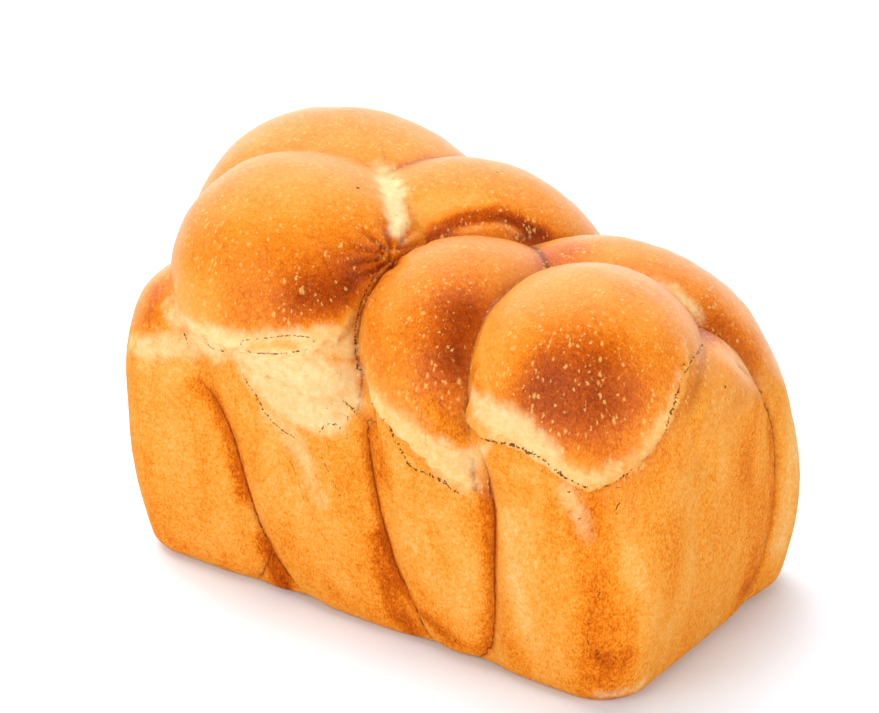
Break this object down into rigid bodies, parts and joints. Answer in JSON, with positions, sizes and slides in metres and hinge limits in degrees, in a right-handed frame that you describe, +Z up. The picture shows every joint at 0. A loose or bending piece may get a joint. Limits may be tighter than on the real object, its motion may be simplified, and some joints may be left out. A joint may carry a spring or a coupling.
{
  "type": "challah loaf",
  "caption": "Braided challah baked in a small loaf tin: glossy golden-brown domes over straight, creased sides.",
  "frame": {"origin": "middle of the flat underside, at the centre of the loaf's overall length and width", "axes": "+X along the loaf towards its lower end, -Y towards its seen long side, +Z up"},
  "size_m": [0.197, 0.12, 0.1313],
  "materials": {
    "crust": "satin"
  },
  "bodies": {
    "root": {"loaf": "crust"}
  },
  "joints": []
}
